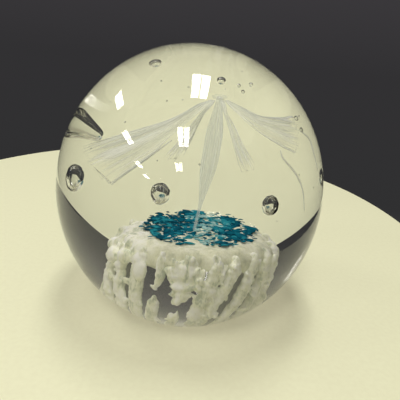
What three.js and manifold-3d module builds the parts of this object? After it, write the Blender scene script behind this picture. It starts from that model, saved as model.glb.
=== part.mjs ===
// A hand-made glass paperweight: a clear ball with a teal bed, a white reef and a pulled veil flower inside it.
//
// Such a weight is made in three gathers of clear glass, each laid over the last. The core carries the white bed,
// the teal frit and the reef. The inner gather covers them and carries the stem, the veils and the bubbles on its
// dome. The outer casing closes round everything. Each gather is modelled open at its foot, as a shell over the
// one before it, and every piece keeps a small clearance to its neighbours where the real glass is fused.
//
// Millimetres, +Z up, +X to the right and +Y to the back. The origin is the middle of the ball's outline on the
// plane that it stands on.
import * as THREE from "three";
import { mergeVertices } from "three/addons/utils/BufferGeometryUtils.js";
import Module from "manifold-3d";

const wasm = await Module();
wasm.setup();

// ---------------------------------------------------------------- driving dimensions

const GAP = 0.35; // clearance at each face between two pieces of glass
const OVERSHOOT = 1; // how far a cutting tool stands out of the face that it cuts through

const BALL_RADIUS = 40; // from side to side
const BALL_DEPTH_RADIUS = 42.5; // from front to back
const BALL_HALF_HEIGHT = 42.5; // of the whole oval, before its base is ground flat
const BALL_CENTRE_Z = 35.1;

const FLOWER_X = 3; // the inner gather and its flower stand a little to the right of the ball's axis
const FLOWER_Y = -1;
const DOME_RADIUS = 29; // widest part of the inner gather
const DOME_HALF_HEIGHT = 28.4;
const DOME_CENTRE_Z = 29;
const DOME_FOOT_RADIUS = 16.5;

const LEAN = 4; // the foot of the inner gather and of the core lies this far to the left of their tops
const LEAN_HEIGHT = 22.5; // and they stand upright above here

const CORE_X = 2;
const CORE_Y = -1;
const CORE_FOOT_RADIUS = 8.5;
const CORE_SHOULDER_RADIUS = 14;
const CORE_SHOULDER_Z = 22.5;
const CORE_TOP_Z = 24.5;
const CORE_EDGE = 1.2; // the shoulder rounds off into the flat top over this width

const BED_THICKNESS = 0.9;
const BED_SKIRT_Z = 21; // the white bed folds over the core's shoulder down to here

const CHIP_THICKNESS = 1.1;
const CHIP_RINGS = [
  { count: 5, radius: 5.2, size: 2.3 },
  { count: 9, radius: 11.1, size: 2.7 },
];

const REEF_COUNT = 18; // places round the core, evenly spaced
const REEF_START = -173; // azimuth of the first place, in degrees
const REEF_RADIUS = 1.7; // of one drip at its fattest
const REEF_FOOT_Z = 1.4;
const REEF_OPEN_FROM = 57; // between these azimuths the back of the core is bare, in degrees
const REEF_OPEN_TO = 137;
// Two of the places at the front hold a short drip over a stub: where the drip ends and how high the stub stands.
const REEF_BROKEN = {
  4: { dripZ: 16.2, stubZ: 14.4 },
  5: { dripZ: 13.2, stubZ: 11.2 },
};

const HEART_RADIUS = 3.4;
const HEART_X = 4.5; // the veils meet a little to the front of the dome's top
const HEART_Y = -4;
const HEART_THICKNESS = 1.6;
const HEART_TAPER = 0.7; // its underside's radius, as a share of its own

const STEM_FOOT_RADIUS = 0.45;
const STEM_HALF_WIDTH = 1.7;
const STEM_HALF_THICKNESS = 0.8;
const STEM_TWIST = 60; // degrees from foot to top

const VEIL_THICKNESS = 0.8;
const VEIL_ROWS = 8;
const VEIL_END_ROOM = 2; // a veil's ends have this many clearances to the glass beyond them
// Each veil hangs down the dome between two edges. An edge is four [azimuth, degrees from the dome's top] points from
// the heart to the veil's end, with azimuth 0 towards +X. The low edge is the one with the lower azimuths.
const VEILS = [
  {
    name: "veil_left",
    low: [[-121, 14], [-128, 28], [-145, 42], [-167, 57]],
    high: [[-110, 14], [-113, 33], [-121, 50], [-135, 66]],
  },
  {
    name: "veil_front_left",
    low: [[-101, 14], [-104, 27], [-108, 39], [-113, 50]],
    high: [[-97, 14], [-98, 26], [-100, 37], [-103, 47]],
  },
  {
    name: "veil_front_right",
    low: [[-75, 14], [-73, 27], [-72, 40], [-70, 52]],
    high: [[-71, 14], [-67, 27], [-64, 40], [-60, 51]],
  },
  {
    name: "veil_right",
    low: [[-60, 14], [-52, 28], [-40, 39], [-25, 48]],
    high: [[-48, 14], [-35, 24], [-12, 30], [8, 36]],
  },
];

const THREAD_RADIUS = 0.35;
const THREAD_DEPTH = 0.5; // of its centre line below the dome
// Fine pulls that run on down the dome from a veil: [azimuth, degrees from the top] at both ends.
const THREADS = [
  { name: "thread_left", from: [-119, 50], to: [-132, 66] },
  { name: "thread_right", from: [-39, 48], to: [-33, 72] },
  { name: "thread_far_right", from: [3, 50], to: [-8, 60] },
];

// Bubbles trapped on the dome: azimuth and degrees from the top, radius.
const BUBBLES = [
  { azimuth: -109, polar: 65, radius: 2.0 },
  { azimuth: -56, polar: 68, radius: 2.0 },
  { azimuth: -4, polar: 65, radius: 1.6 },
  { azimuth: -165, polar: 73, radius: 2.3 },
  { azimuth: 79, polar: 12, radius: 1.0 },
];
const LONG_BUBBLE_RADIUS = 2;
const LONG_BUBBLE_FROM = [-19, -6.5, 47.5];
const LONG_BUBBLE_TO = [-29.5, -5, 52];

const BALL_SEGMENTS = 52;
const BALL_ROWS = 18;
const DOME_SEGMENTS = 32;
const DOME_ROWS = 10;
const CORE_SEGMENTS = 24;

// ---------------------------------------------------------------- materials

const glass = (color, roughness) =>
  new THREE.MeshStandardMaterial({ color, roughness, metalness: 0, transparent: true, opacity: 0.35 });
const opaque = (color, roughness) => new THREE.MeshStandardMaterial({ color, roughness, metalness: 0 });

const clearGlass = () => glass(0xe6ead2, 0.03);
const veilGlass = () => glass(0xdfe2d6, 0.2);
const whiteGlass = () => opaque(0xe0ddc6, 0.25);
const tealGlass = () => opaque(0x17647a, 0.2);

// ---------------------------------------------------------------- helpers

const radians = (degrees) => THREE.MathUtils.degToRad(degrees);

// A repeatable irregular number from -1 to 1 for piece i and feature k.
const vary = (i, k) => {
  const wild = Math.sin(i * 12.9898 + k * 78.233 + 1.7) * 43758.5453;
  return 2 * (wild - Math.floor(wild)) - 1;
};

// A closed geometry as a solid that can be joined and cut.
function solid(geometry) {
  const bare = geometry.clone();
  bare.deleteAttribute("normal");
  bare.deleteAttribute("uv");
  const merged = mergeVertices(bare);
  return new wasm.Manifold(
    new wasm.Mesh({
      numProp: 3,
      vertProperties: merged.getAttribute("position").array,
      triVerts: new Uint32Array(merged.index.array),
    }),
  );
}

// A solid's surface as a geometry.
function surface(body) {
  const mesh = body.getMesh();
  const geometry = new THREE.BufferGeometry();
  geometry.setAttribute("position", new THREE.BufferAttribute(new Float32Array(mesh.vertProperties), 3));
  geometry.setIndex(new THREE.BufferAttribute(new Uint32Array(mesh.triVerts), 1));
  geometry.computeVertexNormals();
  return geometry;
}

const cutAll = (body, tools) => tools.reduce((left, tool) => left.subtract(tool), body);

function part(name, geometry, material) {
  const mesh = new THREE.Mesh(geometry, material);
  mesh.name = name;
  return mesh;
}

// How far to the left the inner gather and the core lie at a height.
const leanAt = (z) => -LEAN * Math.max(0, 1 - z / LEAN_HEIGHT);

// A solid of revolution about the upright line through (x, y), from a profile of [radius, z] pairs, leaning or not.
function turned(profile, segments, x = 0, y = 0, leaning = true) {
  const points = profile.map(([r, z]) => new THREE.Vector2(r, z));
  const geometry = new THREE.LatheGeometry(points, segments);
  geometry.rotateX(Math.PI / 2).translate(x, y, 0);
  const place = geometry.getAttribute("position");
  for (let i = 0; leaning && i < place.count; i++) {
    place.setX(i, place.getX(i) + leanAt(place.getZ(i)));
  }
  return geometry;
}

// [radius, z] pairs up an oval from the angle where it is cut at z = 0 to its top on the axis.
function ovalProfile(radius, halfHeight, centreZ, rows) {
  const start = -Math.asin(centreZ / halfHeight);
  const arc = Array.from({ length: rows }, (_, i) => {
    const angle = start + ((Math.PI / 2 - start) * i) / rows;
    return [radius * Math.cos(angle), centreZ + halfHeight * Math.sin(angle)];
  });
  arc[0][1] = 0;
  return [[0, 0], ...arc, [0, centreZ + halfHeight]];
}

// A closed skin over rings of points that all have the same count, with a fan over each end.
function skin(rings) {
  const sides = rings[0].length;
  const centre = (ring) =>
    ring.reduce((sum, p) => sum.add(p), new THREE.Vector3()).divideScalar(sides);
  const points = [...rings.flat(), centre(rings[0]), centre(rings.at(-1))];
  const first = points.length - 2;
  const last = points.length - 1;
  const faces = [];
  for (let r = 0; r + 1 < rings.length; r++) {
    for (let s = 0; s < sides; s++) {
      const a = r * sides + s;
      const b = r * sides + ((s + 1) % sides);
      faces.push(a, b, b + sides, a, b + sides, a + sides);
    }
  }
  const topRow = (rings.length - 1) * sides;
  for (let s = 0; s < sides; s++) {
    const next = (s + 1) % sides;
    faces.push(first, next, s);
    faces.push(last, topRow + s, topRow + next);
  }
  const geometry = new THREE.BufferGeometry().setFromPoints(points);
  return geometry.setIndex(faces);
}

// The point on the inner gather's dome at an azimuth and an angle from its top, in degrees, sunk by a depth.
function domePoint(azimuth, polar, depth = 0) {
  const a = radians(azimuth);
  const p = radians(polar);
  const unit = new THREE.Vector3(Math.sin(p) * Math.cos(a), Math.sin(p) * Math.sin(a), Math.cos(p));
  const size = new THREE.Vector3(DOME_RADIUS, DOME_RADIUS, DOME_HALF_HEIGHT);
  const normal = unit.clone().divide(size).normalize();
  return unit
    .multiply(size)
    .add(new THREE.Vector3(FLOWER_X, FLOWER_Y, DOME_CENTRE_Z))
    .addScaledVector(normal, -depth);
}

// ---------------------------------------------------------------- the gathers' outlines

// The ball is an oval of revolution, drawn out a little from front to back.
function ballSolid() {
  const profile = ovalProfile(BALL_RADIUS, BALL_HALF_HEIGHT, BALL_CENTRE_Z, BALL_ROWS);
  const ball = turned(profile, BALL_SEGMENTS, 0, 0, false);
  return solid(ball.scale(1, BALL_DEPTH_RADIUS / BALL_RADIUS, 1));
}

// The inner gather's outside, grown by a clearance: a dome that draws in to its foot on the base plane.
function domeSolid(grow = 0) {
  const radius = DOME_RADIUS + grow;
  const foot = DOME_FOOT_RADIUS + grow;
  const drop = DOME_CENTRE_Z / Math.sqrt(1 - (foot / radius) ** 2);
  const rise = DOME_HALF_HEIGHT + grow;
  const below = Array.from({ length: DOME_ROWS / 2 }, (_, i) => {
    const z = (DOME_CENTRE_Z * i) / (DOME_ROWS / 2);
    return [radius * Math.sqrt(1 - ((DOME_CENTRE_Z - z) / drop) ** 2), z];
  });
  const above = Array.from({ length: DOME_ROWS }, (_, i) => {
    const angle = (Math.PI / 2) * (i / DOME_ROWS);
    return [radius * Math.cos(angle), DOME_CENTRE_Z + rise * Math.sin(angle)];
  });
  const profile = [[0, -grow], [foot, -grow], ...below.slice(grow > 0 ? 0 : 1), ...above, [0, DOME_CENTRE_Z + rise]];
  return solid(turned(profile, DOME_SEGMENTS, FLOWER_X, FLOWER_Y));
}

// The core's radius at a height: a short plug that widens to its shoulder.
const coreRadius = (z) =>
  CORE_FOOT_RADIUS + (CORE_SHOULDER_RADIUS - CORE_FOOT_RADIUS) * Math.sin((Math.PI / 2) * (z / CORE_SHOULDER_Z));

function coreProfile(grow) {
  const rows = 6;
  const side = Array.from({ length: rows + 1 }, (_, i) => {
    const z = (CORE_SHOULDER_Z * i) / rows;
    return [coreRadius(z) + grow, z];
  });
  const foot = grow > 0 ? [[0, -grow], [CORE_FOOT_RADIUS + grow, -grow]] : [[0, 0]];
  return [...foot, ...side, [CORE_SHOULDER_RADIUS - CORE_EDGE + grow, CORE_TOP_Z + grow], [0, CORE_TOP_Z + grow]];
}

const coreSolid = (grow = 0) => solid(turned(coreProfile(grow), CORE_SEGMENTS, CORE_X, CORE_Y));

// ---------------------------------------------------------------- the white bed and the teal frit

// The bed is a cap of white glass over the core's top, with a skirt that folds over its shoulder.
function bedSolid(grow = 0) {
  const inner = GAP - grow;
  const outer = GAP + BED_THICKNESS + grow;
  const cap = solid(turned(coreProfile(outer), CORE_SEGMENTS, CORE_X, CORE_Y));
  const hollow = solid(turned(coreProfile(inner), CORE_SEGMENTS, CORE_X, CORE_Y));
  const side = 3 * CORE_SHOULDER_RADIUS;
  const below = new THREE.BoxGeometry(side, side, side).translate(CORE_X, CORE_Y, BED_SKIRT_Z - grow - side / 2);
  return cap.subtract(hollow).subtract(solid(below));
}

// One chip of crushed teal glass: a flat polygon with uneven angles and reaches, lying on the bed.
function chipGeometry(index, size, grow = 0) {
  const corners = 6;
  const shape = new THREE.Shape(
    Array.from({ length: corners }, (_, k) => {
      const angle = (2 * Math.PI * (k + 0.3 * vary(index, k))) / corners;
      const reach = size * (0.82 + 0.18 * vary(index, k + corners)) + grow;
      return new THREE.Vector2(reach * Math.cos(angle), reach * Math.sin(angle));
    }),
  );
  const geometry = new THREE.ExtrudeGeometry(shape, { depth: CHIP_THICKNESS + 2 * grow, bevelEnabled: false });
  return geometry.translate(0, 0, -grow);
}

// Every chip's place: rings round the bed, each chip turned and nudged a little.
function chipPlaces() {
  const places = [];
  CHIP_RINGS.forEach(({ count, radius, size }, ring) => {
    for (let i = 0; i < count; i++) {
      const index = places.length;
      const angle = (2 * Math.PI * (i + 0.5 * ring)) / count + 0.08 * vary(index, 20);
      const reach = radius + 0.3 * vary(index, 21);
      places.push({
        index,
        size: size * (0.93 + 0.07 * vary(index, 22)),
        x: CORE_X + reach * Math.cos(angle),
        y: CORE_Y + reach * Math.sin(angle),
      });
    }
  });
  return places;
}

const CHIP_Z = CORE_TOP_Z + GAP + BED_THICKNESS + GAP;

const chipAt = ({ index, size, x, y }, grow = 0) => chipGeometry(index, size, grow).translate(x, y, CHIP_Z);

// ---------------------------------------------------------------- the white reef

// One drip of white glass down the core's side from one height to another. It is lumpy, thinner at both ends, and
// sways a little from its azimuth. More than half of it stands out of the core.
function reefGeometry(index, azimuth, fromZ, toZ, grow = 0) {
  const sides = 6;
  const rows = 5;
  const angle = radians(azimuth);
  const rings = Array.from({ length: rows + 1 }, (_, row) => {
    const t = row / rows;
    const z = THREE.MathUtils.lerp(fromZ - grow, toZ + grow, t);
    const round = 0.45 + 0.55 * Math.sin(Math.PI * (0.1 + 0.8 * t));
    const fat = REEF_RADIUS * round * (0.86 + 0.14 * vary(index, row)) + grow;
    const reach = coreRadius(z) + REEF_RADIUS * 0.55;
    const sway = 0.05 * vary(index, row + 9);
    const x = CORE_X + leanAt(z) + reach * Math.cos(angle + sway);
    const y = CORE_Y + reach * Math.sin(angle + sway);
    return Array.from({ length: sides }, (__, s) => {
      const turn = (2 * Math.PI * s) / sides;
      return new THREE.Vector3(x + fat * Math.cos(turn), y + fat * Math.sin(turn), z);
    });
  });
  return skin(rings);
}

// Where each drip runs: right down the side, or, in a broken place, a short drip over a stub.
function reefPlaces() {
  const top = BED_SKIRT_Z - 2 * GAP;
  const places = [];
  for (let number = 1; number <= REEF_COUNT; number++) {
    const azimuth = REEF_START + (360 * (number - 1)) / REEF_COUNT;
    const place = { index: number, azimuth, fromZ: REEF_FOOT_Z, toZ: top };
    const broken = REEF_BROKEN[number];
    if (broken) {
      places.push({ ...place, name: `reef_drip_${number}`, fromZ: broken.dripZ });
      places.push({ ...place, name: `reef_stub_${number}`, toZ: broken.stubZ });
    } else if (azimuth < REEF_OPEN_FROM || azimuth > REEF_OPEN_TO) {
      places.push({ ...place, name: `reef_column_${number}` });
    }
  }
  return places;
}

const reefAt = (place, grow = 0) => reefGeometry(place.index, place.azimuth, place.fromZ, place.toZ, grow);

// ---------------------------------------------------------------- the veil flower

// The knot of glass near the dome's top, where the veils and the stem meet. It is a disc that stands out of the dome
// by OVERSHOOT, trimmed to the dome's own face.
function heartSolid(grow = 0) {
  const top = DOME_CENTRE_Z + DOME_HALF_HEIGHT;
  const floor = top - HEART_THICKNESS - grow;
  const height = top + OVERSHOOT - floor;
  const disc = new THREE.CylinderGeometry(HEART_RADIUS + grow, HEART_RADIUS * HEART_TAPER + grow, height, 24);
  disc.rotateX(Math.PI / 2).translate(HEART_X, HEART_Y, floor + height / 2);
  return grow > 0 ? solid(disc) : solid(disc).intersect(domeSolid());
}

// The stem is a twisted ribbon that thins to a thread at the bed and leans from there to the heart.
function stemGeometry(grow = 0) {
  const sides = 8;
  const rows = 9;
  const foot = CHIP_Z - grow;
  const top = DOME_CENTRE_Z + DOME_HALF_HEIGHT - HEART_THICKNESS - GAP + grow;
  const rings = Array.from({ length: rows + 1 }, (_, row) => {
    const t = row / rows;
    const swell = Math.sin((Math.PI / 2) * Math.min(1, t * 1.25)) ** 2;
    const width = THREE.MathUtils.lerp(STEM_FOOT_RADIUS, STEM_HALF_WIDTH, swell) + grow;
    const thickness = THREE.MathUtils.lerp(STEM_FOOT_RADIUS, STEM_HALF_THICKNESS, swell) + grow;
    const twist = radians(STEM_TWIST) * t;
    return Array.from({ length: sides }, (__, s) => {
      const turn = (2 * Math.PI * s) / sides;
      const point = new THREE.Vector3(width * Math.cos(turn), thickness * Math.sin(turn), 0);
      point.applyAxisAngle(new THREE.Vector3(0, 0, 1), twist);
      const x = THREE.MathUtils.lerp(CORE_X, HEART_X, t);
      const y = THREE.MathUtils.lerp(CORE_Y, HEART_Y, t);
      return point.add(new THREE.Vector3(x, y, THREE.MathUtils.lerp(foot, top, t)));
    });
  });
  return skin(rings);
}

// Where a veil's edge is at share t of its length, as (azimuth, degrees from the top).
function edgeAt(edge, t) {
  const points = edge.map(([azimuth, polar]) => new THREE.Vector2(azimuth, polar));
  return new THREE.SplineCurve(points).getPoint(t);
}

// The step on the dome from one such place towards another, given a length in millimetres.
function stepTowards(from, to, length) {
  const step = to.clone().sub(from);
  const round = Math.sin(radians((from.y + to.y) / 2));
  const distance = radians(Math.hypot(step.x * round, step.y)) * DOME_RADIUS;
  return step.multiplyScalar(length / distance);
}

// Both ends of one row across a veil, moved outwards by a clearance, and at the veil's own ends also along its run.
function veilRow({ low, high }, t, grow) {
  const left = edgeAt(low, t);
  const right = edgeAt(high, t);
  const more = stepTowards(left, right, grow);
  const ends = [left.clone().sub(more), right.clone().add(more)];
  if (t > 0 && t < 1) {
    return ends;
  }
  const within = Math.abs(t - 0.05); // a little way in from this end
  const room = grow * VEIL_END_ROOM;
  return [low, high].map((edge, i) => ends[i].add(stepTowards(edgeAt(edge, within), edgeAt(edge, t), room)));
}

// One veil: a thin leaf sunk into the dome, narrow at the heart and widening to its end.
function veilGeometry(veil, grow = 0) {
  const across = 3;
  const outside = grow > 0 ? -OVERSHOOT : 0;
  const inside = VEIL_THICKNESS + grow;
  const rings = Array.from({ length: VEIL_ROWS + 1 }, (_, row) => {
    const [left, right] = veilRow(veil, row / VEIL_ROWS, grow);
    const side = (from, to, depth) =>
      Array.from({ length: across + 1 }, (__, s) => {
        const place = from.clone().lerp(to, s / across);
        return domePoint(place.x, place.y, depth);
      });
    return [...side(right, left, outside), ...side(left, right, inside)];
  });
  return skin(rings);
}

// A fine pull of white glass down the dome, just under its surface.
function threadGeometry({ from, to }, grow = 0) {
  const steps = 8;
  const path = new THREE.CatmullRomCurve3(
    Array.from({ length: 5 }, (_, i) => {
      const t = i / 4;
      const azimuth = THREE.MathUtils.lerp(from[0], to[0], t);
      return domePoint(azimuth, THREE.MathUtils.lerp(from[1], to[1], t), THREAD_DEPTH);
    }),
  );
  const radius = THREAD_RADIUS + grow;
  const section = new THREE.Shape(
    Array.from({ length: 6 }, (_, k) => {
      const angle = (2 * Math.PI * k) / 6;
      return new THREE.Vector2(radius * Math.cos(angle), radius * Math.sin(angle));
    }),
  );
  return new THREE.ExtrudeGeometry(section, { steps, bevelEnabled: false, extrudePath: path });
}

// ---------------------------------------------------------------- the bubbles

// The voids in the glass: round bubbles on the dome and a long one drawn out towards the ball's side.
function bubbleSolids() {
  const round = BUBBLES.map(({ azimuth, polar, radius }) => {
    const centre = domePoint(azimuth, polar);
    return solid(new THREE.IcosahedronGeometry(radius, 1).translate(centre.x, centre.y, centre.z));
  });
  const start = new THREE.Vector3(...LONG_BUBBLE_FROM);
  const end = new THREE.Vector3(...LONG_BUBBLE_TO);
  const along = end.clone().sub(start);
  const capsule = new THREE.CapsuleGeometry(LONG_BUBBLE_RADIUS, along.length(), 3, 8);
  const turn = new THREE.Quaternion().setFromUnitVectors(new THREE.Vector3(0, 1, 0), along.clone().normalize());
  const middle = start.clone().lerp(end, 0.5);
  capsule.applyQuaternion(turn).translate(middle.x, middle.y, middle.z);
  return [...round, solid(capsule)];
}

// ---------------------------------------------------------------- the assembly

const chips = chipPlaces();
const reef = reefPlaces();
const bubbles = bubbleSolids();
const reefGrooves = reef.map((place) => solid(reefAt(place, GAP)));
const dropGrooves = [
  heartSolid(GAP),
  solid(stemGeometry(GAP)),
  ...VEILS.map((veil) => solid(veilGeometry(veil, GAP))),
  ...THREADS.map((thread) => solid(threadGeometry(thread, GAP))),
];

const outerCasing = cutAll(ballSolid(), [domeSolid(GAP), ...bubbles]);
const innerGather = cutAll(domeSolid(), [
  coreSolid(GAP),
  bedSolid(GAP),
  ...chips.map((place) => solid(chipAt(place, GAP))),
  ...reefGrooves,
  ...dropGrooves,
  ...bubbles,
]);
const baseCore = cutAll(coreSolid(), reefGrooves);

const paperweight = new THREE.Group();
paperweight.add(part("outer_casing", surface(outerCasing), clearGlass()));
paperweight.add(part("inner_gather", surface(innerGather), clearGlass()));
paperweight.add(part("base_core", surface(baseCore), clearGlass()));
paperweight.add(part("white_bed", surface(bedSolid()), whiteGlass()));
for (const place of chips) {
  paperweight.add(part(`teal_chip_${place.index + 1}`, chipAt(place), tealGlass()));
}
for (const place of reef) {
  paperweight.add(part(place.name, reefAt(place), whiteGlass()));
}
paperweight.add(part("flower_heart", surface(cutAll(heartSolid(), bubbles)), veilGlass()));
paperweight.add(part("stem", stemGeometry(), veilGlass()));
for (const veil of VEILS) {
  paperweight.add(part(veil.name, veilGeometry(veil), veilGlass()));
}
for (const thread of THREADS) {
  paperweight.add(part(thread.name, threadGeometry(thread), whiteGlass()));
}

export default paperweight;
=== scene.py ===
"""The looks of a hand-made glass paperweight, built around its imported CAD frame.

Metres, +Z up, +X to the right and +Y to the back. One clear glass body stands for the three fused gathers,
with the air bubbles as hollows in it. The veils, stem, threads, reef, bed and frit are separate pieces of glass
inside it.
"""

import math
import random

import bmesh
import bpy
from mathutils import Matrix, Quaternion, Vector, noise


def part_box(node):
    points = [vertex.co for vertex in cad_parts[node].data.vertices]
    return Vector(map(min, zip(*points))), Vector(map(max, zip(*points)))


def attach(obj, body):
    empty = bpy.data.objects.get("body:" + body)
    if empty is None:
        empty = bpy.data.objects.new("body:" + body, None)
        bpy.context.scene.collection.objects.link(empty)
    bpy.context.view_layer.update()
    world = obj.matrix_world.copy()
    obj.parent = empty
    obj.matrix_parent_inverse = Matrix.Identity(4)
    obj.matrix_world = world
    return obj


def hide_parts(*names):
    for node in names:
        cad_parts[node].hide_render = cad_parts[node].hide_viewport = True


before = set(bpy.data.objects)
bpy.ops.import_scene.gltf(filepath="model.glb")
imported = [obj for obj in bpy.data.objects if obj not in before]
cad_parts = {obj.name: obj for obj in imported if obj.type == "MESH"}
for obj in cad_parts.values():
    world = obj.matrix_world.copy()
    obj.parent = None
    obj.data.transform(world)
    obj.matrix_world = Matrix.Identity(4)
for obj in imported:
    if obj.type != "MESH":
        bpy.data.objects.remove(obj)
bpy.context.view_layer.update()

MM = 0.001

# ---------------------------------------------------------------- driving dimensions, in metres

BALL_LOW, BALL_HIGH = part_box("outer_casing")
BALL_RADIUS = (BALL_HIGH.x - BALL_LOW.x) / 2
BALL_DEPTH_RADIUS = (BALL_HIGH.y - BALL_LOW.y) / 2
BALL_TOP = BALL_HIGH.z
BALL_CENTRE_Z = 35.1 * MM
BALL_HALF_HEIGHT = BALL_TOP - BALL_CENTRE_Z
BASE_ROUND = 0.5 * MM  # polished edge of the ground base
BALL_WAVE = 0.07 * MM  # how far the hand-worked surface strays inwards

DOME_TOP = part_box("inner_gather")[1].z
DOME_CENTRE = Vector((3 * MM, -1 * MM, 29 * MM))
DOME_RADIUS = 29 * MM
DOME_HALF_HEIGHT = DOME_TOP - DOME_CENTRE.z

LEAN = 4 * MM  # the foot of the reef lies this far to the left of the bed
LEAN_HEIGHT = 22.5 * MM  # above which nothing leans

BED_LOW, BED_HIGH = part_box("white_bed")
BED_CENTRE = Vector(((BED_LOW.x + BED_HIGH.x) / 2, (BED_LOW.y + BED_HIGH.y) / 2, BED_HIGH.z))
BED_RADIUS = (BED_HIGH.y - BED_LOW.y) / 2  # at its shoulder
CORE_FOOT_RADIUS = 8.5 * MM
CORE_SHOULDER_RADIUS = 14 * MM
CORE_SHOULDER_Z = 22.5 * MM

# ---------------------------------------------------------------- small helpers


def lerp(a, b, t):
    return a + (b - a) * t


def smooth(t):
    t = max(0.0, min(1.0, t))
    return t * t * (3 - 2 * t)


def lean_at(z):
    return -LEAN * max(0.0, 1 - z / LEAN_HEIGHT)


def core_radius(z):
    return lerp(CORE_FOOT_RADIUS, CORE_SHOULDER_RADIUS, math.sin(math.pi / 2 * min(1.0, z / CORE_SHOULDER_Z)))


def dome_point(azimuth, polar, depth=0.0):
    """The point on the dome at an azimuth and an angle from its top, both in degrees, sunk by a depth."""
    a, p = math.radians(azimuth), math.radians(polar)
    unit = Vector((math.sin(p) * math.cos(a), math.sin(p) * math.sin(a), math.cos(p)))
    size = Vector((DOME_RADIUS, DOME_RADIUS, DOME_HALF_HEIGHT))
    normal = Vector(u / s for u, s in zip(unit, size)).normalized()
    return DOME_CENTRE + unit * size - normal * depth


def finish_piece(piece, slot, *nodes):
    """Rides on the one body and stands for its CAD nodes, which it hides. The slot is not used."""
    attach(piece, "root")
    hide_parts(*nodes)


class Skin:
    """Points and faces of one mesh, with a (across, along) coordinate and a shade for each point."""

    def __init__(self):
        self.points = []
        self.coords = []
        self.shades = []
        self.faces = []

    def add(self, point, coord=(0.0, 0.0), shade=0.0):
        self.points.append(Vector(point))
        self.coords.append(coord)
        self.shades.append(shade)
        return len(self.points) - 1

    def rings(self, rings, coords=None, shade=0.0, inward=False):
        """A closed tube over rings of equal count, closed by a fan over each end."""
        start = len(self.points)
        sides = len(rings[0])
        last = len(rings) - 1
        for r, ring in enumerate(rings):
            for s, point in enumerate(ring):
                self.add(point, coords[r][s] if coords else (s / sides, r / last), shade)
        made = []
        for r in range(last):
            for s in range(sides):
                a = start + r * sides + s
                b = start + r * sides + (s + 1) % sides
                made.append((a, b, b + sides, a + sides))
        for row, turned in ((0, True), (last, False)):
            first = start + row * sides
            middle = sum((self.points[first + s] for s in range(sides)), Vector()) / sides
            centre = self.add(middle, self.coords[first], shade)
            for s in range(sides):
                a, b = first + s, first + (s + 1) % sides
                made.append((centre, b, a) if turned else (centre, a, b))
        self.faces.extend(tuple(reversed(face)) if inward else face for face in made)

    def build(self, name, material, smooth_faces=True):
        mesh = bpy.data.meshes.new(name)
        mesh.from_pydata([tuple(point) for point in self.points], [], self.faces)
        layer = mesh.uv_layers.new(name="lie")
        for loop in mesh.loops:
            layer.data[loop.index].uv = self.coords[loop.vertex_index]
        shade = mesh.attributes.new("shade", "FLOAT", "POINT")
        shade.data.foreach_set("value", self.shades)
        return link_mesh(name, mesh, material, smooth_faces)


def link_mesh(name, mesh, material, smooth_faces=True):
    mesh.polygons.foreach_set("use_smooth", [smooth_faces] * len(mesh.polygons))
    mesh.materials.append(material)
    mesh.update()
    made = bpy.data.objects.new(name, mesh)
    bpy.context.scene.collection.objects.link(made)
    return made


def oval(centre, across, deep, sides, z):
    """Points round an upright oval, anticlockwise from above."""
    return [
        Vector((centre[0] + across * math.cos(a), centre[1] + deep * math.sin(a), z))
        for a in (2 * math.pi * s / sides for s in range(sides))
    ]


def egg_rings(centre, radii, axis=(0, 0, 1), sides=32, rows=20):
    """Rings of an ellipsoid whose third radius lies along axis."""
    turn = Vector(axis).to_track_quat("Z", "Y")

    def wall(down, a):
        out = math.sin(down)
        place = (radii[0] * out * math.cos(a), radii[1] * out * math.sin(a), -radii[2] * math.cos(down))
        return Vector(centre) + turn @ Vector(place)

    return [
        [wall(math.pi * row / rows, 2 * math.pi * s / sides) for s in range(sides)]
        for row in range(1, rows)
    ]


def tube_rings(path, radius_at, sides=12):
    """Rings round a path of points, with the radius at each share of its length."""
    rings = []
    for i, point in enumerate(path):
        ahead = path[min(i + 1, len(path) - 1)] - path[max(i - 1, 0)]
        turn = ahead.to_track_quat("Z", "Y")
        radius = radius_at(i / (len(path) - 1))
        rings.append(
            [
                point + turn @ Vector((radius * math.cos(a), radius * math.sin(a), 0))
                for a in (2 * math.pi * s / sides for s in range(sides))
            ]
        )
    return rings


def spline(points, count):
    """A smooth path of count points through the given ones."""
    padded = [points[0] * 2 - points[1], *points, points[-1] * 2 - points[-2]]
    path = []
    for i in range(count):
        place = (len(points) - 1) * i / (count - 1)
        k = min(int(place), len(points) - 2)
        t = place - k
        a, b, c, d = padded[k : k + 4]
        bend = (2 * a - 5 * b + 4 * c - d) * t * t + (3 * b - a - 3 * c + d) * t**3
        path.append(0.5 * (2 * b + (c - a) * t + bend))
    return path


MELT_VOXEL = 0.2 * MM
GRAIN = 900.0  # how fine the roughness of melted glass is, in waves per metre
FIBRE = 0.4  # how much slower it changes upwards, which draws it into upright fibres


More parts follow.
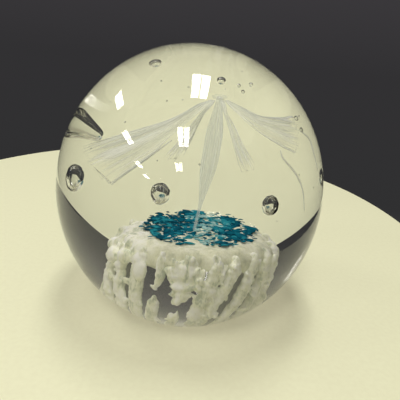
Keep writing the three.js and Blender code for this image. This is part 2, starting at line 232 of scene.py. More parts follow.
def fused(name, blobs, material, roughen, shade_at):
    """Blobs of glass melted into one skin with upright fibres. Each blob is (centre, radii, turn)."""
    shape = bmesh.new()
    for centre, radii, turn in blobs:
        place = Matrix.LocRotScale(Vector(centre) / MM, turn, Vector(radii) / MM)
        bmesh.ops.create_icosphere(shape, subdivisions=2, radius=1.0, matrix=place)
    rough = bpy.data.meshes.new(name + "_blobs")
    shape.to_mesh(rough)
    shape.free()
    holder = bpy.data.objects.new(name + "_blobs", rough)
    bpy.context.scene.collection.objects.link(holder)
    remesh = holder.modifiers.new("melt", "REMESH")
    remesh.mode = "VOXEL"
    remesh.voxel_size = MELT_VOXEL / MM
    soften = holder.modifiers.new("soften", "SMOOTH")
    soften.factor = 0.6
    soften.iterations = 2
    graph = bpy.context.evaluated_depsgraph_get()
    mesh = bpy.data.meshes.new_from_object(holder.evaluated_get(graph))
    bpy.data.objects.remove(holder)
    bpy.data.meshes.remove(rough)
    mesh.name = name
    mesh.transform(Matrix.Scale(MM, 4))
    moved = []
    for place, normal in [(vertex.co.copy(), vertex.normal.copy()) for vertex in mesh.vertices]:
        where = Vector((place.x, place.y, place.z * FIBRE)) * GRAIN
        moved.extend(place + normal * (roughen * noise.noise(where)))
    mesh.vertices.foreach_set("co", moved)
    shade = mesh.attributes.new("shade", "FLOAT", "POINT")
    shade.data.foreach_set("value", [shade_at(vertex.co) for vertex in mesh.vertices])
    return link_mesh(name, mesh, material)


# ---------------------------------------------------------------- materials


class Shading:
    """A new material's node tree, with short ways to add nodes to it."""

    def __init__(self, name):
        self.material = bpy.data.materials.new(name)
        self.material.use_nodes = True
        self.nodes = self.material.node_tree.nodes
        self.links = self.material.node_tree.links
        self.shader = self.nodes["Principled BSDF"]

    def add(self, kind, **inputs):
        node = self.nodes.new("ShaderNode" + kind)
        for name, value in inputs.items():
            self.feed(value, node.inputs[name])
        return node

    def feed(self, value, socket):
        if isinstance(value, bpy.types.NodeSocket):
            self.links.new(value, socket)
        else:
            socket.default_value = value

    def set(self, name, value):
        self.feed(value, self.shader.inputs[name])

    def math(self, operation, a, b=0.0, c=0.0):
        node = self.nodes.new("ShaderNodeMath")
        node.operation = operation
        for socket, value in zip(node.inputs, (a, b, c)):
            self.feed(value, socket)
        return node.outputs[0]

    def place(self):
        return self.add("TexCoord").outputs["Object"]

    def noise(self, vector, scale, detail=3.0, distortion=0.0):
        node = self.add("TexNoise", Vector=vector, Scale=scale, Detail=detail, Distortion=distortion)
        return node.outputs["Fac"]

    def lie(self, across, along):
        """Noise coordinates stretched by the piece's own run."""
        uv = self.add("UVMap")
        uv.uv_map = "lie"
        return self.add("Mapping", Vector=uv.outputs["UV"], Scale=(across, along, 1)).outputs["Vector"]

    def ramp(self, fac, *stops):
        node = self.add("ValToRGB", Fac=fac)
        while len(node.color_ramp.elements) < len(stops):
            node.color_ramp.elements.new(0.5)
        for element, (position, colour) in zip(node.color_ramp.elements, stops):
            element.position = position
            element.color = (*colour, 1) if isinstance(colour, tuple) else (colour,) * 3 + (1,)
        return node.outputs["Color"]


def clear_glass():
    """Clear casing glass. Light for what lies in it or under it goes straight through, weaker at its rim."""
    shading = Shading("clear_glass")
    shading.set("Base Color", (0.93, 0.94, 0.925, 1))
    shading.set("Roughness", 0.0)
    shading.set("IOR", 1.5)
    shading.set("Transmission Weight", 1.0)
    facing = shading.add("LayerWeight", Blend=0.5).outputs["Facing"]
    tints = [(0.0, (0.82, 0.81, 0.81)), (0.55, (0.69, 0.67, 0.67)), (1.0, (0.18, 0.17, 0.17))]
    passed = shading.ramp(facing, *tints)
    shadow = shading.add("BsdfTransparent", Color=passed)
    mix = shading.nodes.new("ShaderNodeMixShader")
    path = shading.add("LightPath").outputs
    lighting = shading.math("MAXIMUM", path["Is Shadow Ray"], path["Is Diffuse Ray"])
    shading.links.new(lighting, mix.inputs[0])
    shading.links.new(shading.shader.outputs[0], mix.inputs[1])
    shading.links.new(shadow.outputs[0], mix.inputs[2])
    shading.links.new(mix.outputs[0], shading.nodes["Material Output"].inputs["Surface"])
    return shading.material


def veil_glass(name, glow, cover):
    """Thin white film, streaked along its run, that only half hides what is behind it, with a painted glow."""
    shading = Shading(name)
    streaks = shading.noise(shading.lie(24.0, 1.6), 1.0, detail=4.0, distortion=0.3)
    fine = shading.noise(shading.lie(90.0, 3.0), 1.0, detail=2.0)
    fac = shading.math("MULTIPLY_ADD", fine, 0.35, shading.math("MULTIPLY", streaks, 0.65))
    whites = [(0.36, (0.46, 0.49, 0.44)), (0.5, (0.72, 0.75, 0.68)), (0.6, (0.97, 0.98, 0.93))]
    shading.set("Base Color", shading.ramp(fac, *whites))
    shade = shading.add("Attribute")
    shade.attribute_name = "shade"
    film = shading.ramp(fac, (0.38, 0.2 * cover), (0.5, 0.4 * cover), (0.62, 0.95 * cover))
    # Painted glow: the film gives off faint light of its own, to brighten it.
    shading.set("Emission Color", (0.93, 1.0, 0.9, 1))
    shading.set("Emission Strength", glow)
    shading.set("Alpha", shading.math("MULTIPLY", film, shade.outputs["Fac"]))
    shading.set("Roughness", 0.6)
    shading.set("Specular IOR Level", 0.0)
    return shading.material


def white_glass():
    """Opal glass, streaked upwards, with a faint painted glow. Shade 0 is white to grey-green, 0.5 the bed's
    cream, 1 a brown grey of painted shade.
    """
    shading = Shading("white_glass")
    place = shading.add("Mapping", Vector=shading.place(), Scale=(1, 1, 0.45)).outputs["Vector"]
    lumps = shading.noise(place, 480.0, detail=4.0, distortion=0.6)
    grain = shading.noise(place, 2600.0, detail=2.0)
    fac = shading.math("MULTIPLY_ADD", grain, 0.25, shading.math("MULTIPLY", lumps, 0.75))
    whites = [(0.36, (0.52, 0.56, 0.42)), (0.46, (0.86, 0.87, 0.69)), (0.57, (0.99, 0.99, 0.88))]
    creams = [(0.36, (0.60, 0.61, 0.44)), (0.5, (0.74, 0.74, 0.54)), (0.64, (0.86, 0.86, 0.68))]
    white, cream = shading.ramp(fac, *whites), shading.ramp(fac, *creams)
    shade = shading.add("Attribute")
    shade.attribute_name = "shade"
    paler = shading.math("MULTIPLY", shade.outputs["Fac"], 2.0)
    milky = shading.add("MixRGB", Fac=shading.math("MINIMUM", paler, 1.0), Color1=white, Color2=cream)
    # Above 0.5 the shade mixes in brown grey: painted shade on the legs' sides and webs.
    painted_shade = shading.math("MAXIMUM", shading.math("SUBTRACT", paler, 1.0), 0.0)
    mix = shading.add("MixRGB", Fac=painted_shade, Color1=milky.outputs["Color"], Color2=(0.17, 0.16, 0.12, 1))
    shading.set("Base Color", mix.outputs["Color"])
    bump = shading.add("Bump", Strength=0.5, Distance=0.3 * MM, Height=fac)
    shading.set("Normal", bump.outputs["Normal"])
    shading.set("Roughness", 0.45)
    shading.set("Specular IOR Level", 0.0)
    # Painted glow: the opal gives off faint light of its own, standing in for light scattered within it.
    shading.set("Emission Color", (0.96, 1.0, 0.86, 1))
    shading.set("Emission Strength", 0.05)
    shading.set("Subsurface Weight", 0.7)
    shading.set("Subsurface Radius", (1.0, 1.0, 0.85))
    shading.set("Subsurface Scale", 0.7 * MM)
    return shading.material


def teal_glass():
    """Crushed teal frit: each shard has its own depth of colour, cloudy within."""
    shading = Shading("teal_glass")
    shade = shading.add("Attribute")
    shade.attribute_name = "shade"
    cloud = shading.noise(shading.place(), 1500.0, detail=2.0)
    fac = shading.math("MULTIPLY_ADD", shading.math("SUBTRACT", cloud, 0.5), 0.5, shade.outputs["Fac"])
    teals = [(0.0, (0.004, 0.06, 0.1)), (0.35, (0.006, 0.17, 0.25)), (0.7, (0.035, 0.32, 0.38))]
    teals += [(1.0, (0.4, 0.62, 0.6))]
    shading.set("Base Color", shading.ramp(fac, *teals))
    shading.set("Roughness", 0.3)
    shading.set("Specular IOR Level", 0.0)
    return shading.material


def table_top():
    shading = Shading("table_top")
    grain = shading.noise(shading.place(), 700.0, detail=2.0)
    shading.set("Base Color", shading.ramp(grain, (0.3, (0.83, 0.83, 0.60)), (0.7, (0.86, 0.865, 0.63))))
    shading.set("Roughness", 0.5)
    return shading.material


# ---------------------------------------------------------------- camera, light and stage

CAMERA_AT = (3.3 * MM, -121.1 * MM, 72.8 * MM)
CAMERA_DIP = math.radians(19.09)
CAMERA_ROLL = math.radians(5.02)
CAMERA_LENS = 36.0
CAMERA_SENSOR = 36.0


def add_camera():
    data = bpy.data.cameras.new("camera")
    data.lens = CAMERA_LENS
    data.sensor_width = CAMERA_SENSOR
    data.clip_start = 1 * MM
    camera = bpy.data.objects.new("camera", data)
    bpy.context.scene.collection.objects.link(camera)
    forward = Vector((0, math.cos(CAMERA_DIP), -math.sin(CAMERA_DIP)))
    right = Vector((1, 0, 0))
    up = right.cross(forward)
    leaning = right * math.cos(CAMERA_ROLL) + up * math.sin(CAMERA_ROLL)
    turn = Matrix((leaning, leaning.cross(forward), -forward)).transposed()
    camera.matrix_world = Matrix.Translation(CAMERA_AT) @ turn.to_4x4()
    bpy.context.scene.camera = camera


CEILING = 1.2  # height of the lamp panels above the table
TUBE_WIDTH = 0.085 * CEILING  # of one of a panel's two bright strips
TUBE_SPLIT = 0.012 * CEILING
PANEL_LENGTH = 0.40 * CEILING
PANEL_GLOW = 19.4  # radiance of a strip
# Each panel's place on the ceiling, right and back of the weight, in ceiling heights: the row above it and the
# row to its left.
PANELS = [(0.02, 0.09), (-0.15, -0.77), (-0.29, -1.68)]
PANELS += [(-1.13, 0.4), (-1.28, -0.54), (-1.54, -1.52), (-1.72, -2.36)]


def add_panels():
    """Ceiling lamps in two rows, each a pair of bright strips with a dark line between them."""
    for index, (x, y) in enumerate(PANELS):
        for side in (-1, 1):
            data = bpy.data.lights.new(f"panel_{index}_{side}", "AREA")
            data.shape = "RECTANGLE"
            data.size = TUBE_WIDTH
            data.size_y = PANEL_LENGTH
            data.energy = PANEL_GLOW * math.pi * TUBE_WIDTH * PANEL_LENGTH
            data.color = (1.0, 0.97, 0.9)
            lamp = bpy.data.objects.new(data.name, data)
            lamp.location = (x * CEILING + side * (TUBE_WIDTH + TUBE_SPLIT) / 2, y * CEILING, CEILING)
            bpy.context.scene.collection.objects.link(lamp)


# The room's colours by height, from 0 straight down over 0.5 at the horizon to 1 straight up.
ROOM = [
    (0.0, (0.15, 0.145, 0.125)),
    (0.22, (0.10, 0.097, 0.085)),
    (0.36, (0.030, 0.030, 0.031)),
    (0.5, (0.032, 0.031, 0.033)),
    (0.6, (0.046, 0.043, 0.047)),
    (0.74, (0.055, 0.055, 0.055)),
    (0.84, (0.40, 0.385, 0.335)),
]


def add_world():
    """A dim floor, a dark plain wall up to the ceiling line, and a soft pale ceiling above it."""
    world = bpy.data.worlds.new("room")
    bpy.context.scene.world = world
    world.use_nodes = True
    nodes, links = world.node_tree.nodes, world.node_tree.links
    where = nodes.new("ShaderNodeTexCoord")
    parts = nodes.new("ShaderNodeSeparateXYZ")
    links.new(where.outputs["Generated"], parts.inputs["Vector"])
    ramp = nodes.new("ShaderNodeValToRGB")
    height = nodes.new("ShaderNodeMath")
    height.operation = "MULTIPLY_ADD"
    height.inputs[1].default_value = height.inputs[2].default_value = 0.5
    links.new(parts.outputs["Z"], height.inputs[0])
    links.new(height.outputs[0], ramp.inputs["Fac"])
    while len(ramp.color_ramp.elements) < len(ROOM):
        ramp.color_ramp.elements.new(0.5)
    for element, (position, colour) in zip(ramp.color_ramp.elements, ROOM):
        element.position = position
        element.color = (*colour, 1)
    links.new(ramp.outputs["Color"], nodes["Background"].inputs["Color"])


TABLE_CENTRE = (-16.3 * MM, 71 * MM)
TABLE_RADII = (128.8 * MM, 151.8 * MM)
TABLE_THICKNESS = 12 * MM
TABLE_ROUND = 1.5 * MM
TABLE_SIDES = 200
FLOOR_GAP = 0.02 * MM


def add_table():
    """A plain pale oval table top with a rounded edge, a hair below the base."""
    profile = [
        (TABLE_ROUND, -TABLE_THICKNESS),
        (0.0, -TABLE_THICKNESS + TABLE_ROUND),
        (0.0, -TABLE_ROUND),
        (0.3 * TABLE_ROUND, -0.3 * TABLE_ROUND),  # halfway round the upper edge
        (TABLE_ROUND, 0.0),
    ]
    rings = []
    for inset, z in profile:
        across, deep = TABLE_RADII[0] - inset, TABLE_RADII[1] - inset
        rings.append(oval(TABLE_CENTRE, across, deep, TABLE_SIDES, z - FLOOR_GAP))
    skin = Skin()
    skin.rings(rings)
    skin.build("table", table_top(), smooth_faces=False)


# ---------------------------------------------------------------- the clear glass body

# Round bubbles on the dome: azimuth and angle from its top in degrees, radius in mm, and stretch upwards.
DOME_BUBBLES = [
    (-109, 65, 2.1, 1.1),
    (-56, 68, 2.0, 1.12),
    (-4, 65, 1.5, 1.5),
    (-165, 73, 2.3, 1.3),
    (79, 12, 0.95, 0.8),
    (43, 13, 0.4, 1.0),
    (10, 12, 0.4, 1.0),
    (54, 23, 0.4, 1.0),
    (10, 37, 0.55, 1.1),
    (0, 41, 0.5, 1.2),
]
TOP_BUBBLE = Vector((-9.4, -3, 63.4)) * MM
TOP_BUBBLE_RADII = Vector((1.45, 1.45, 1.1)) * MM
# The long bubble's run out towards the ball's left side, its radius at the start and its growth, all in mm.
LONG_BUBBLE = ((-18.4, -7.2, 46.4), (-22.5, -6.6, 48.2), (-27.0, -5.4, 49.7), (-33.0, -4.0, 50.8))
LONG_BUBBLE_THIN = 1.5
LONG_BUBBLE_GROWTH = 2.4
LONG_BUBBLE_ROWS = 40
RIPPLE = 0.05  # of a bubble's radius, on its wall
SEED_COUNT = 26  # of tiny bubbles strewn through the glass
SEED_CHANCE = 7
SEED_RADII = (0.1, 0.24)
SEED_DEPTHS = (-5, 2)  # below the dome, in mm


def long_bubble_radius(t):
    """Thin at the right, fat towards the left and round at both ends."""
    swell = LONG_BUBBLE_THIN + LONG_BUBBLE_GROWTH * smooth(t * 1.4)
    ends = math.sqrt(max(0.0, 1 - (2 * t - 1) ** 8))
    return swell * max(0.08, ends) * MM


def rippled(point, centre, radius):
    """A point of a bubble's wall, moved in or out by the marks that the tools left."""
    ripple = noise.noise(point * (2.2 / radius)) + 0.5 * noise.noise(point * (5 / radius))
    return point + (point - centre).normalized() * (RIPPLE * radius * ripple)


def bubble_cavities():
    """The rings of every hollow in the glass, one bubble after another."""
    for azimuth, polar, radius, stretch in DOME_BUBBLES:
        radii = Vector((radius, radius, radius * stretch)) * MM
        centre = dome_point(azimuth, polar)
        yield [[rippled(point, centre, radius * MM) for point in ring] for ring in egg_rings(centre, radii)]
    yield egg_rings(TOP_BUBBLE, TOP_BUBBLE_RADII)
    run = spline([Vector(place) * MM for place in LONG_BUBBLE], LONG_BUBBLE_ROWS)
    yield tube_rings(run, long_bubble_radius, sides=28)
    chance = random.Random(SEED_CHANCE)
    for _ in range(SEED_COUNT):
        azimuth, polar = chance.uniform(-180, 180), chance.uniform(5, 85)
        place = dome_point(azimuth, polar, chance.uniform(*SEED_DEPTHS) * MM)
        radius = chance.uniform(*SEED_RADII) * MM
        yield egg_rings(place, (radius,) * 3, sides=12, rows=8)


BALL_SIDES = 192
BALL_ROWS = 120
WAVE_PITCH = 38  # waves per metre on the hand-worked surface
WAVE_FROM = 2 * MM  # above the ground base, which stays flat


def ball_profile():
    """Radius and height from the middle of the base, over its polished edge, up to the ball's top."""
    start = -math.asin(BALL_CENTRE_Z / BALL_HALF_HEIGHT)
    base_radius = BALL_RADIUS * math.cos(start)
    profile = [(base_radius * share, 0.0) for share in (0.3, 0.6, 0.9)]
    profile += [(base_radius - 2 * BASE_ROUND, 0.0), (base_radius - BASE_ROUND, 0.08 * BASE_ROUND)]
    for row in range(BALL_ROWS):
        angle = lerp(start + 0.012, math.pi / 2, row / BALL_ROWS)
        profile.append((BALL_RADIUS * math.cos(angle), BALL_CENTRE_Z + BALL_HALF_HEIGHT * math.sin(angle)))
    return profile


def glass_body():
    """The whole clear ball: drawn out to the back, ground flat below, with its bubbles."""
    depth = BALL_DEPTH_RADIUS / BALL_RADIUS
    skin = Skin()
    skin.rings([oval((0, 0), radius, radius * depth, BALL_SIDES, z) for radius, z in ball_profile()])
    centre = Vector((0, 0, BALL_CENTRE_Z))
    for point in skin.points:
        if point.z > WAVE_FROM:
            wave = 0.5 + 0.5 * noise.noise(point * WAVE_PITCH)
            point += (centre - point).normalized() * (BALL_WAVE * wave)
    for cavity in bubble_cavities():
        skin.rings(cavity, inward=True)
    body = skin.build("glass_body", clear_glass())
    finish_piece(body, "clear_glass", "outer_casing", "inner_gather", "base_core")


# ---------------------------------------------------------------- the bed and the frit

# The bed's outline from its middle down over the shoulder: share of its radius, and drop below its top in mm.
BED_OUTLINE = [(share, 0.0) for share in (0.05, 0.15, 0.25, 0.35, 0.45, 0.55)]
BED_OUTLINE += [(0.63, 0.05), (0.7, 0.15), (0.77, 0.35), (0.83, 0.6), (0.88, 1.0), (0.92, 1.5), (0.95, 2.1)]
BED_OUTLINE += [(0.97, 2.8), (0.98, 3.6), (0.97, 4.3), (0.95, 4.8)]
BED_LINED_FROM = 9  # the outline's point where the skirt's inner face ends
BED_SKIRT_THICKNESS = 1.2 * MM
BED_SIDES = 144
BED_LUMPS = ((230, 0.5), (620, 0.35), (1500, 0.12))  # waves per metre and share of each size of lump
BED_LUMP_OUT = 1.1 * MM
BED_LUMP_UP = 0.55 * MM
BED_TEAR = 1.6 * MM  # how unevenly the skirt ends


def bed_point(point, share, drop):
    """A point of the bed's plain outline, moved by its lumps and by the tears of its skirt."""
    lump = sum(size * noise.noise(point * pitch) for pitch, size in BED_LUMPS)
    outward = Vector((point.x - BED_CENTRE.x, point.y - BED_CENTRE.y, 0)).normalized()
    tear = noise.noise(Vector((outward.x, outward.y, 0.3)) * 4.5) * BED_TEAR * smooth((drop - 2.5) / 3)
    edge = smooth((share - 0.6) / 0.3)
    moved = point + outward * (lump * edge * BED_LUMP_OUT) + Vector((0, 0, lump * BED_LUMP_UP + tear))
    moved.x += lean_at(moved.z)
    return moved


def bed_shade(point):
    """Cream for most of the bed, white at its left rim."""
    rim = smooth((BED_CENTRE.x - 0.55 * BED_RADIUS - point.x) / (0.3 * BED_RADIUS))
    return (1 - rim) * (0.42 + 0.08 * noise.noise(point * 300))


def bed(material):
    """A lumpy cap of opal glass over the core's top, its torn skirt hanging over the shoulder."""
    outer = [(BED_RADIUS * share, drop) for share, drop in BED_OUTLINE]
    inner = [(radius - BED_SKIRT_THICKNESS, drop - 0.15) for radius, drop in reversed(outer[BED_LINED_FROM:])]
    rings = []
    for radius, drop in [*outer, *inner, (BED_RADIUS * 0.4, 0.8)]:
        plain = oval(BED_CENTRE, radius, radius, BED_SIDES, BED_CENTRE.z - drop * MM)
        rings.append([bed_point(point, radius / BED_RADIUS, drop) for point in plain])
    skin = Skin()
    skin.rings(rings, inward=True)
    skin.shades = [bed_shade(point) for point in skin.points]
    finish_piece(skin.build("bed_of_white", material), "white_glass", "white_bed")


CHIP_COUNT = 14
FRIT_CHANCE = 100
FRIT_SHARDS = 150  # in each cluster, before the bare places are left out
FRIT_SPREAD = 2.0 * MM
FRIT_RADIUS = Vector((11.2, 12.6)) * MM
FRIT_CENTRE = BED_CENTRE + Vector((0.4, 1.6, 0)) * MM
FRIT_SIZES = (0.18, 0.24, 0.3, 0.42, 0.8)  # half widths of the splinters, in mm
FRIT_LIFTS = (-0.1, 0.35)  # of their middles above the bed, in mm


def frit_wanted(x, y):
    """How thickly the teal lies at a place on the bed, and how pale it is there, both from 0 to 1."""
    across, deep = (x - FRIT_CENTRE.x) / FRIT_RADIUS.x, (y - FRIT_CENTRE.y) / FRIT_RADIUS.y
    amount = 1 - smooth((math.hypot(across, deep) - 0.86) / 0.2)
    if abs(across - 0.05) < 0.35 and deep < -0.2:
        amount *= 0.35  # the bed shows through in front of the stem's foot
    middle = 1 - smooth(abs(across - 0.12) / 0.5)
    return amount, 0.14 + 0.6 * middle


def shard(skin, chance, centre, size, shade):
    """One splinter: an uneven plate with a smaller top face."""
    corners = chance.randint(4, 6)
    turn = Quaternion((0, 0, 1), chance.gauss(0, 0.7)) @ Quaternion((1, 0, 0), chance.uniform(-0.18, 0.18))
    thick = size * chance.uniform(0.25, 0.5)
    long = chance.uniform(1.0, 2.3)
    reach = [size * chance.uniform(0.6, 1.1) for _ in range(corners)]
    rings = []
    for level, share in ((-0.5, 0.9), (0.0, 1.0), (0.5, chance.uniform(0.5, 0.8))):
        ring = []
        for k in range(corners):
            a = 2 * math.pi * k / corners
            corner = (share * long * reach[k] * math.cos(a), share * reach[k] * math.sin(a), level * thick)
            ring.append(centre + turn @ Vector(corner))
        rings.append(ring)
    skin.rings(rings, shade=shade)


def frit_cluster(node, index, material):
    """The splinters of teal glass that lie around one chip's place."""
    low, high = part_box(node)
    middle = (low + high) / 2
    chance = random.Random(FRIT_CHANCE + index)
    skin = Skin()
    shard(skin, chance, Vector((middle.x, middle.y, BED_CENTRE.z + 0.2 * MM)), 0.4 * MM, 0.3)
    for _ in range(FRIT_SHARDS):
        x = chance.gauss(middle.x, FRIT_SPREAD)
        y = chance.gauss(middle.y, FRIT_SPREAD)
        size = chance.choice(FRIT_SIZES) * MM
        lift = chance.uniform(*FRIT_LIFTS) * MM
        amount, paleness = frit_wanted(x, y)
        shade = min(1.0, paleness * chance.uniform(0.1, 1.8) + chance.choice((0.0, 0.0, 0.0, 0.0, 0.4)))
        if chance.random() < amount:
            shard(skin, chance, Vector((x, y, BED_CENTRE.z + lift)), size, shade)
    piece = skin.build(f"{node}_frit", material, smooth_faces=False)
    finish_piece(piece, "teal_glass", node)


# ---------------------------------------------------------------- the reef

LEG_HALF_WIDTH = 2.0 * MM
LEG_HALF_DEPTH = 1.25 * MM
LEG_PROUD = 0.9 * MM  # a leg's middle lies this far outside the core
LEG_TUCK = 1.3 * MM  # and comes in by this much under the bed
LEG_TUCK_RISE = 3 * MM
LEG_TOP = BED_CENTRE.z - 1.4 * MM
LEG_END = 0.8 * MM  # from a leg's end to the middle of its last lump
LUMP_SPACING = 0.9 * MM
LUMP_HALF_HEIGHT = 1.15 * MM
LUMP_STRAY = 0.35 * MM  # in or out
EXTRA_PROUD = 0.6 * MM  # of the extra lumps over the leg's middle
KNOB_SIZES = (0.4, 0.85)  # in mm
KNOB_PROUD = 0.5 * MM
KNOB_STRAY = 0.6 * MM  # up or down
WEB_SUNK = 1.6 * MM  # the thin web of glass between two legs lies this far behind them; it is painted brown grey as shade
WEB_AHEAD = 10  # degrees from a leg's middle to the middle of its web
WEB_RADII = (0.5 * MM, 2.2 * MM, 1.2 * MM)
LEG_ROUGHNESS = 0.3 * MM
LEG_CHANCE = 300
# Each leg's own shape: its share of the half width, how lumpy it is, and its foot's swing round in degrees.
LEG_STYLES = {
    "reef_column_1": (0.72, 1.2, 0),
    "reef_column_2": (0.62, 1.3, 2),
    "reef_column_3": (0.98, 0.2, 4),
    "reef_drip_4": (0.6, 0.5, 0),
    "reef_stub_4": (0.8, 0.2, 0),
    "reef_drip_5": (1.5, 1.7, -3),
    "reef_stub_5": (0.42, 0.5, -3),
    "reef_column_6": (0.95, 0.8, -4),
}
OTHER_LEGS = (0.86, 0.65, -14)
OPEN_SIDED = [node for node in LEG_STYLES if node != "reef_column_6"]  # these legs have no web beside them
# Extra lumps on some legs: azimuth in degrees, height and half sizes outwards, across and upwards in mm.
LEG_LUMPS = {
    "reef_column_3": [(-131, 19.6, 1.3, 1.7, 2.6), (-135, 21.6, 1.2, 1.5, 1.6)],
    "reef_column_1": [(-169, 20.5, 1.6, 2.2, 1.8), (-179, 21.8, 1.5, 2.0, 1.4)],
    "reef_column_2": [(-151, 21.5, 1.6, 2.0, 1.5)],
    "reef_stub_5": [(-96, 3.0, 0.9, 0.9, 2.2), (-96, 6.0, 0.9, 0.9, 2.2), (-95, 9.0, 0.8, 0.8, 1.8)],
}


def leg_point(azimuth, z, out=0.0):
    """A place on the reef, at an azimuth, a height, and a distance outside the legs' middles."""
    angle = math.radians(azimuth)
    reach = core_radius(z) + LEG_PROUD + out - LEG_TUCK * smooth((z - CORE_SHOULDER_Z) / LEG_TUCK_RISE)
    across = lean_at(z) + reach * math.cos(angle)
    return Vector((BED_CENTRE.x + across, BED_CENTRE.y + reach * math.sin(angle), z))


def leg_painted_shade(point):
    """Painted shade: white where a leg stands proud of the core, darkening to brown grey on its sides and on
    the sunk web between two legs.
    """
    across, deep = point.x - BED_CENTRE.x - lean_at(point.z), point.y - BED_CENTRE.y
    proud = math.hypot(across, deep) - core_radius(point.z)
    below_bed = smooth((CORE_SHOULDER_Z - 1 * MM - point.z) / (2 * MM))
    return below_bed * smooth((1.1 * MM - proud) / (1.0 * MM))


def about_z(degrees):
    return Quaternion((0, 0, 1), math.radians(degrees))


def knob(chance, azimuth, z, width):
    """A small lump on one side of a leg."""
    aside = azimuth + math.degrees(chance.choice((-1, 1)) * width / core_radius(z))
    size = chance.uniform(*KNOB_SIZES) * MM
    spin = Quaternion((chance.uniform(-1, 1), chance.uniform(-1, 1), 1), chance.uniform(0, 3))
    rise = chance.uniform(-1, 1) * KNOB_STRAY
    return leg_point(aside, z + rise, KNOB_PROUD), (size, size * 0.7, size * 1.9), spin


def leg(node, index, azimuth, low, high, material):
    """One run of opal glass down the core's side: overlapping lumps, flattened against the core."""
    share, lumpy, swing = LEG_STYLES.get(node, OTHER_LEGS)
    chance = random.Random(LEG_CHANCE + index)
    count = max(4, round((high - low) / LUMP_SPACING))
    blobs = []
    for k in range(count):
        t = k / (count - 1)
        z = lerp(low + LEG_END, high - LEG_END, t)
        round_off = math.sqrt(max(0.1, 1 - (2 * t - 1) ** 6))
        uneven = 1 + 0.28 * lumpy * chance.uniform(-1, 1)
        width = LEG_HALF_WIDTH * share * round_off * uneven * lerp(0.72, 1.05, t)
        here = azimuth + 2.2 * lumpy * math.sin(6.2 * t + index) + swing * (1 - t)
        out = LUMP_STRAY * lumpy * chance.uniform(-1, 1)
        blobs.append((leg_point(here, z, out), (LEG_HALF_DEPTH, width, LUMP_HALF_HEIGHT), about_z(here)))
        # A sunk web closes the gap to the next leg; its painted shade turns it brown grey.
        if node not in OPEN_SIDED:
            ahead = here + WEB_AHEAD
            blobs.append((leg_point(ahead, z, -WEB_SUNK), WEB_RADII, about_z(ahead)))
        if chance.random() < 0.6 * lumpy:
            blobs.append(knob(chance, here, z, width))
    for around, z, *sizes in LEG_LUMPS.get(node, ()):
        blobs.append((leg_point(around, z * MM, EXTRA_PROUD), [size * MM for size in sizes], about_z(around)))
    piece = fused(f"{node}_opal", blobs, material, LEG_ROUGHNESS * min(1.0, lumpy + 0.1), leg_painted_shade)
    finish_piece(piece, "white_glass", node)


def reef(material):
    """Every leg stands for its CAD node, whose own box says where it is and how high."""
    names = sorted(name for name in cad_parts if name.startswith("reef_"))
    for index, node in enumerate(names):
        low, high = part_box(node)
        middle = (low + high) / 2
        across, deep = middle.x - lean_at(middle.z) - BED_CENTRE.x, middle.y - BED_CENTRE.y
        azimuth = math.degrees(math.atan2(deep, across))
        top = high.z if "stub" in node else LEG_TOP
        leg(node, index, azimuth, low.z, top, material)


# ---------------------------------------------------------------- the flower

# Each veil's two edges, from the heart to its end, as (azimuth, degrees from the dome's top), and how dense it
# is across, from its first edge to its second.
VEILS = {
    "veil_left": (
        [(-94, 11), (-111, 16), (-124, 27), (-147, 42), (-177, 61)],
        [(-86, 11), (-100, 20), (-113, 36), (-121, 50), (-136, 67)],
        (1.35, 1.15, 0.9, 0.55, 0.5),
    ),
    "veil_front_left": (
        [(-88, 11), (-99, 20), (-104, 29), (-108, 39), (-113, 50)],
        [(-82, 11), (-94, 20), (-98, 28), (-100, 37), (-103, 47)],
        (0.9, 0.9, 0.9),
    ),
    "veil_front_right": (
        [(-72, 11), (-74, 20), (-73, 29), (-72, 40), (-70, 52)],
        [(-62, 11), (-68, 20), (-66, 29), (-64, 39), (-60, 51)],
        (0.8, 0.8, 0.8),
    ),
    "veil_right": (
        [(-62, 11), (-58, 19), (-51, 28), (-40, 38), (-25, 48)],
        [(-52, 11), (-42, 17), (-31, 25), (-11, 30), (9, 36)],
        (0.5, 0.6, 0.8, 1.0, 1.1),
    ),
}
VEIL_ROWS = 70
VEIL_SIDES = 44
VEIL_THICKNESS = 0.22 * MM
VEIL_DEPTH = 0.4 * MM  # of its middle below the dome
VEIL_FLUTE = 0.3 * MM
VEIL_FLUTES = 2.5  # across its width
VEIL_STRAY = 0.25 * MM
VEIL_FRAY = 2.5  # degrees by which its end is uneven


def along(values, t):
    """The value at share t of a row of values, by straight lines."""
    place = t * (len(values) - 1)
    k = min(int(place), len(values) - 2)
    return lerp(values[k], values[k + 1], place - k)


def veil_wave(index, t, u):
    """How far a veil lies below its plain place, at share t of its run and share u of its width."""
    flute = VEIL_FLUTE * smooth(t * 2) * math.sin(2 * math.pi * (VEIL_FLUTES * u + 0.4 * t + 0.3 * index))
    return flute + VEIL_STRAY * noise.noise(Vector((5 * u, 3 * t, index))) * smooth(t * 2)


def veil_shade(index, density, t, u):
    """How much of the film shows: most at the heart and along the edges, least at the frayed end."""
    rim = smooth((abs(2 * u - 1) - 0.88) / 0.1)
    fade = 1 - smooth((t - 0.86 - 0.16 * noise.noise(Vector((26 * u, index, 5)))) / 0.12)
    line = smooth((u - 0.95) / 0.03) if index == 0 else 0.0  # the left veil's lower edge runs on as a line
    body = along(density, u) * (0.75 + 0.5 * (1 - smooth(t * 3)))
    return (body + 0.6 * rim) * max(fade, 0.7 * line)


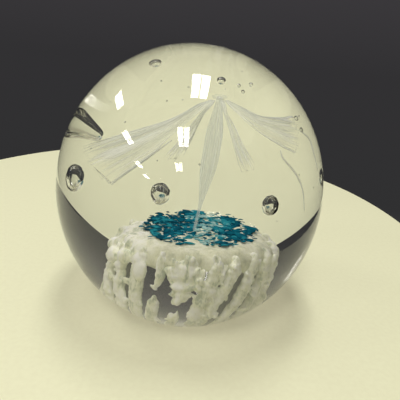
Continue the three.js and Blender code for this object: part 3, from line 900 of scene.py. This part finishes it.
def veil(node, index, material):
    """A thin fluted film on the dome between two edges, drawn from the heart to a frayed end."""
    first, second, density = VEILS[node]
    edges = [spline([Vector(place) for place in edge], VEIL_ROWS + 1) for edge in (first, second)]
    rings, coords, marks = [], [], []
    for row in range(VEIL_ROWS + 1):
        t = row / VEIL_ROWS
        outside, inside, shades = [], [], []
        for side in range(VEIL_SIDES + 1):
            u = side / VEIL_SIDES
            place = edges[0][row].lerp(edges[1][row], u)
            fray = VEIL_FRAY * noise.noise(Vector((9 * u, index * 3.1, 1.7))) * smooth((t - 0.75) / 0.25)
            depth = VEIL_DEPTH + veil_wave(index, t, u)
            half = VEIL_THICKNESS * (1.3 - abs(2 * u - 1) ** 2) / 2
            outside.append(dome_point(place.x, place.y + fray, depth - half))
            inside.append(dome_point(place.x, place.y + fray, depth + half))
            shades.append(veil_shade(index, density, t, u))
        rings.append(outside + inside[::-1])
        row_coords = [(side / VEIL_SIDES + index, t) for side in range(VEIL_SIDES + 1)]
        coords.append(row_coords + row_coords[::-1])
        marks.extend(shades + shades[::-1])
    skin = Skin()
    skin.rings(rings, coords)
    skin.shades[: len(marks)] = marks
    finish_piece(skin.build(f"{node}_film", material), "veil_glass", node)


HEART_RADIUS = 1.5 * MM
HEART_SUNK = 0.9 * MM  # of its middle below its CAD node's top


def heart(material):
    """The clear knot where the films meet, hardly denser than the glass round it."""
    low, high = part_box("flower_heart")
    centre = Vector(((low.x + high.x) / 2, (low.y + high.y) / 2, high.z - HEART_SUNK))
    rings = egg_rings(centre, (HEART_RADIUS, HEART_RADIUS * 0.8, 0.6 * MM), (0, 0.08, 1), sides=48, rows=16)
    skin = Skin()
    skin.rings(rings, shade=0.35)
    for point in skin.points:
        point += Vector((1, 1, 0.3)) * (0.3 * MM * noise.noise(point * 700))
    finish_piece(skin.build("heart_knot", material), "veil_glass", "flower_heart")


STEM_ROWS = 110
STEM_SIDES = 72
STEM_HALF_WIDTH = 1.75 * MM
STEM_HALF_DEPTH = 0.7 * MM
STEM_TURNS = 0.16
STEM_BOW = 0.5 * MM
STEM_FOOT = BED_CENTRE - Vector((0.6 * MM, 0, 0))


def stem_strand(a, t):
    """How far the ribbon's strands stand out, at angle a round it and share t of its height."""
    return 1 + 0.13 * math.sin(7 * a + 2 * t) * math.sin(a) ** 2 + 0.05 * math.sin(17 * a)


def stem(material):
    """A pulled ribbon of many strands: broad under the heart, twisted, and a thread at the bed."""
    heart_low, heart_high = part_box("flower_heart")
    stem_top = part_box("stem")[1].z
    top = Vector(((heart_low.x + heart_high.x) / 2, (heart_low.y + heart_high.y) / 2, stem_top + 1 * MM))
    rings, coords = [], []
    for row in range(STEM_ROWS + 1):
        t = row / STEM_ROWS
        centre = STEM_FOOT.lerp(top, t) + Vector((STEM_BOW * math.sin(3 * t), 0, 0))
        broad = lerp(0.16, 1.0, smooth((t - 0.12) / 0.4)) * lerp(1.0, 0.4, smooth((t - 0.7) / 0.3))
        width, depth = STEM_HALF_WIDTH * broad, STEM_HALF_DEPTH * (0.3 + 0.7 * broad)
        twist = Quaternion((0, 0, 1), 2 * math.pi * STEM_TURNS * (0.75 - t))
        ring, row_coords = [], []
        for side in range(STEM_SIDES):
            a = 2 * math.pi * side / STEM_SIDES
            place = Vector((width * math.cos(a), depth * stem_strand(a, t) * math.sin(a), 0))
            ring.append(centre + twist @ place)
            row_coords.append((7.5 + 0.5 * math.cos(a), t))
        rings.append(ring)
        coords.append(row_coords)
    skin = Skin()
    skin.rings(rings, coords, shade=0.95)
    finish_piece(skin.build("stem_ribbon", material), "veil_glass", "stem")


# Each thread's run down the dome: (azimuth, degrees from the top) at points along it.
THREADS = {
    "thread_left": [(-113, 40), (-119, 47), (-125, 54), (-132, 62), (-136, 67)],
    "thread_right": [(-38, 44), (-39, 48), (-34, 56), (-32, 64), (-33, 74)],
    "thread_far_right": [(-1, 41), (3, 47), (-4, 53), (-8, 60)],
}
THREAD_RADIUS = 0.27 * MM
THREAD_DEPTH = 0.3 * MM  # of its middle below the dome
THREAD_ROWS = 48


def thread_radius(t):
    return THREAD_RADIUS * (0.25 + 0.75 * math.sin(math.pi * (0.1 + 0.85 * t)))


def thread(node, material):
    """A fine pull that tapers away at both ends."""
    path = spline([dome_point(azimuth, polar, THREAD_DEPTH) for azimuth, polar in THREADS[node]], THREAD_ROWS)
    rings = tube_rings(path, thread_radius, sides=10)
    skin = Skin()
    skin.rings(rings, shade=0.8)
    finish_piece(skin.build(f"{node}_pull", material), "white_glass", node)


# ---------------------------------------------------------------- the assembly

add_camera()
add_world()
add_panels()
add_table()
glass_body()

opal = white_glass()
# Both films have a painted glow; the stem's is stronger, to brighten its shaded front.
film = veil_glass("veil_glass", 0.04, 1.0)
ribbon = veil_glass("stem_glass", 0.2, 0.75)
teal = teal_glass()
bed(opal)
for number in range(1, CHIP_COUNT + 1):
    frit_cluster(f"teal_chip_{number}", number, teal)
reef(opal)
for number, veil_node in enumerate(VEILS):
    veil(veil_node, number, film)
heart(film)
stem(ribbon)
for thread_node in THREADS:
    thread(thread_node, film)

bpy.context.scene.view_settings.view_transform = "Standard"
